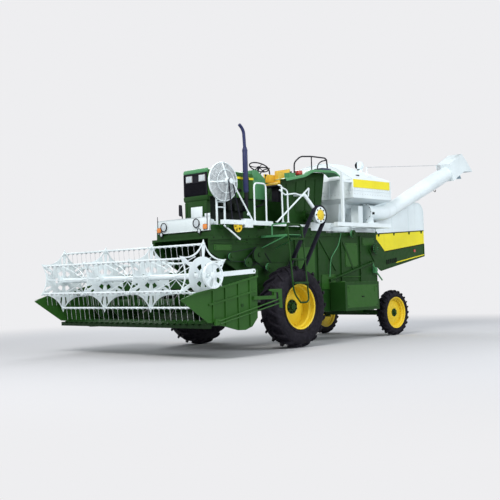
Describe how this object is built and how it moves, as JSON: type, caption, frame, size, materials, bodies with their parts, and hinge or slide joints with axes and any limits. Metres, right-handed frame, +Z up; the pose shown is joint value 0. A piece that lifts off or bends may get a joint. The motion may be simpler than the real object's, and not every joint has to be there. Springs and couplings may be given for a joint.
{
  "type": "tractor-mounted combine harvester",
  "caption": "Combine harvester driven by a farm tractor carried on its threshing body, with a tined reel header, grain tank and swinging unloading auger.",
  "frame": {"origin": "ground plane below the middle of the bounding box", "axes": "+Z up, -Y towards the header (front), +X towards the machine's left side"},
  "size_m": [4.24, 10.5, 4.295],
  "materials": {
    "green_paint": "gloss",
    "white_paint": "gloss",
    "yellow_paint": "gloss",
    "rim_paint": "gloss",
    "black_paint": "satin",
    "dark_iron": "matte",
    "knife_steel": "worn",
    "tyre_rubber": "matte",
    "belt_rubber": "matte",
    "seat_vinyl": "satin"
  },
  "bodies": {
    "chassis": {"thresher_body": "green_paint", "side_tank": "green_paint", "front_axle": "dark_iron", "rear_frame": "green_paint", "rear_axle": "green_paint", "deck_beams": "green_paint", "platform": "green_paint", "ladder": "green_paint", "handrails": "white_paint", "hood_upper": "white_paint", "hood_band": "yellow_paint", "hood_skirt": "green_paint", "grain_tank": "white_paint", "tank_roof": "white_paint", "tank_frame": "white_paint", "auger_base": "white_paint", "tractor_engine": "dark_iron", "tractor_frame": "green_paint", "tractor_bonnet": "green_paint", "tractor_grille": "black_paint", "exhaust_pipe": "black_paint", "dashboard": "green_paint", "steering_wheel": "black_paint", "operator_seat": "seat_vinyl", "fenders": "green_paint", "fender_rails": "black_paint", "drive_pulley": "white_paint", "drive_belts": "belt_rubber", "lamp_board": "white_paint", "screen_stand": "white_paint"},
    "hatch": {"tank_hatch": "white_paint"},
    "unloading_auger": {"auger_tube": "white_paint"},
    "dust_screen": {"screen_drum": "white_paint"},
    "header": {"feeder_house": "green_paint", "header_trough": "green_paint", "header_ends": "green_paint", "cutter_bar": "knife_steel", "knife_drive": "green_paint"},
    "feed_auger": {"header_auger": "green_paint"},
    "reel_arms": {"reel_arms": "white_paint"},
    "reel": {"reel_body": "white_paint"},
    "ram_barrels": {"ram_barrels": "green_paint"},
    "ram_rods": {"ram_rods": "knife_steel"},
    "knuckle_left": {"knuckle_left": "green_paint"},
    "knuckle_right": {"knuckle_right": "green_paint"},
    "wheel_front_left": {"tyre_front_left": "tyre_rubber", "rim_front_left": "rim_paint"},
    "wheel_front_right": {"tyre_front_right": "tyre_rubber", "rim_front_right": "rim_paint"},
    "wheel_rear_left": {"tyre_rear_left": "tyre_rubber", "rim_rear_left": "rim_paint"},
    "wheel_rear_right": {"tyre_rear_right": "tyre_rubber", "rim_rear_right": "rim_paint"},
    "bat_1": {"reel_bat_1": "white_paint"},
    "bat_2": {"reel_bat_2": "white_paint"},
    "bat_3": {"reel_bat_3": "white_paint"},
    "bat_4": {"reel_bat_4": "white_paint"},
    "bat_5": {"reel_bat_5": "white_paint"},
    "bat_6": {"reel_bat_6": "white_paint"}
  },
  "joints": [
    {"name": "header_lift", "type": "hinge", "parent": "chassis", "child": "header", "pos_m": [0, -2.28, 1.6], "axis": [-1, 0, 0], "range_deg": [-11, 12]},
    {"name": "reel_lift", "type": "hinge", "parent": "header", "child": "reel_arms", "pos_m": [-0.06, -3.61, 1.42], "axis": [-1, 0, 0], "range_deg": [0, 12]},
    {"name": "reel_spin", "type": "hinge", "parent": "reel_arms", "child": "reel", "pos_m": [-0.06, -4.66, 1.36], "axis": [1, 0, 0], "continuous": true},
    {"name": "feed_auger_spin", "type": "hinge", "parent": "header", "child": "feed_auger", "pos_m": [-0.06, -3.89, 0.86], "axis": [1, 0, 0], "continuous": true},
    {"name": "ram_tilt", "type": "hinge", "parent": "chassis", "child": "ram_barrels", "pos_m": [0, -2.05, 0.7], "axis": [-1, 0, 0], "range_deg": [-11, 11]},
    {"name": "ram_slide", "type": "slide", "parent": "ram_barrels", "child": "ram_rods", "axis": [0, -0.9995, -0.033], "range_m": [-0.24, 0.24]},
    {"name": "unloading_swing", "type": "hinge", "parent": "chassis", "child": "unloading_auger", "pos_m": [1, 0.99, 2.64], "axis": [0, 0, -1], "range_deg": [0, 95]},
    {"name": "hatch_hinge", "type": "hinge", "parent": "chassis", "child": "hatch", "pos_m": [0, 1.1106, 3.714], "axis": [-1, 0, 0], "range_deg": [0, 110]},
    {"name": "dust_screen_spin", "type": "hinge", "parent": "chassis", "child": "dust_screen", "pos_m": [0.79, -3.04, 3.08], "axis": [1, 0, 0], "continuous": true},
    {"name": "steer_left", "type": "hinge", "parent": "chassis", "child": "knuckle_left", "pos_m": [0.818, 1.803, 0.49], "axis": [0, 0, 1], "range_deg": [-35, 35]},
    {"name": "steer_right", "type": "hinge", "parent": "chassis", "child": "knuckle_right", "pos_m": [-0.818, 1.803, 0.49], "axis": [0, 0, 1], "range_deg": [-36, 36]},
    {"name": "roll_front_left", "type": "hinge", "parent": "chassis", "child": "wheel_front_left", "pos_m": [1.307, -1.86, 0.76], "axis": [1, 0, 0], "continuous": true},
    {"name": "roll_front_right", "type": "hinge", "parent": "chassis", "child": "wheel_front_right", "pos_m": [-1.307, -1.86, 0.76], "axis": [1, 0, 0], "continuous": true},
    {"name": "roll_rear_left", "type": "hinge", "parent": "knuckle_left", "child": "wheel_rear_left", "pos_m": [0.98, 1.803, 0.49], "axis": [1, 0, 0], "continuous": true},
    {"name": "roll_rear_right", "type": "hinge", "parent": "knuckle_right", "child": "wheel_rear_right", "pos_m": [-0.98, 1.803, 0.49], "axis": [1, 0, 0], "continuous": true},
    {"name": "bat_1_level", "type": "hinge", "parent": "reel", "child": "bat_1", "pos_m": [-0.06, -4.20559, 1.59154], "axis": [1, 0, 0], "continuous": true},
    {"name": "bat_2_level", "type": "hinge", "parent": "reel", "child": "bat_2", "pos_m": [-0.06, -4.63331, 1.8693], "axis": [1, 0, 0], "continuous": true},
    {"name": "bat_3_level", "type": "hinge", "parent": "reel", "child": "bat_3", "pos_m": [-0.06, -5.08772, 1.63777], "axis": [1, 0, 0], "continuous": true},
    {"name": "bat_4_level", "type": "hinge", "parent": "reel", "child": "bat_4", "pos_m": [-0.06, -5.11441, 1.12846], "axis": [1, 0, 0], "continuous": true},
    {"name": "bat_5_level", "type": "hinge", "parent": "reel", "child": "bat_5", "pos_m": [-0.06, -4.68669, 0.8507], "axis": [1, 0, 0], "continuous": true},
    {"name": "bat_6_level", "type": "hinge", "parent": "reel", "child": "bat_6", "pos_m": [-0.06, -4.23228, 1.08223], "axis": [1, 0, 0], "continuous": true}
  ],
  "couplings": [
    {"joint": "ram_tilt", "follows": "header_lift", "ratio": 0.83851},
    {"joint": "ram_slide", "follows": "header_lift", "m_per_rad": 0.90207},
    {"joint": "steer_right", "follows": "steer_left", "ratio": 1},
    {"joint": "bat_1_level", "follows": "reel_spin", "ratio": -1},
    {"joint": "bat_2_level", "follows": "reel_spin", "ratio": -1},
    {"joint": "bat_3_level", "follows": "reel_spin", "ratio": -1},
    {"joint": "bat_4_level", "follows": "reel_spin", "ratio": -1},
    {"joint": "bat_5_level", "follows": "reel_spin", "ratio": -1},
    {"joint": "bat_6_level", "follows": "reel_spin", "ratio": -1}
  ]
}
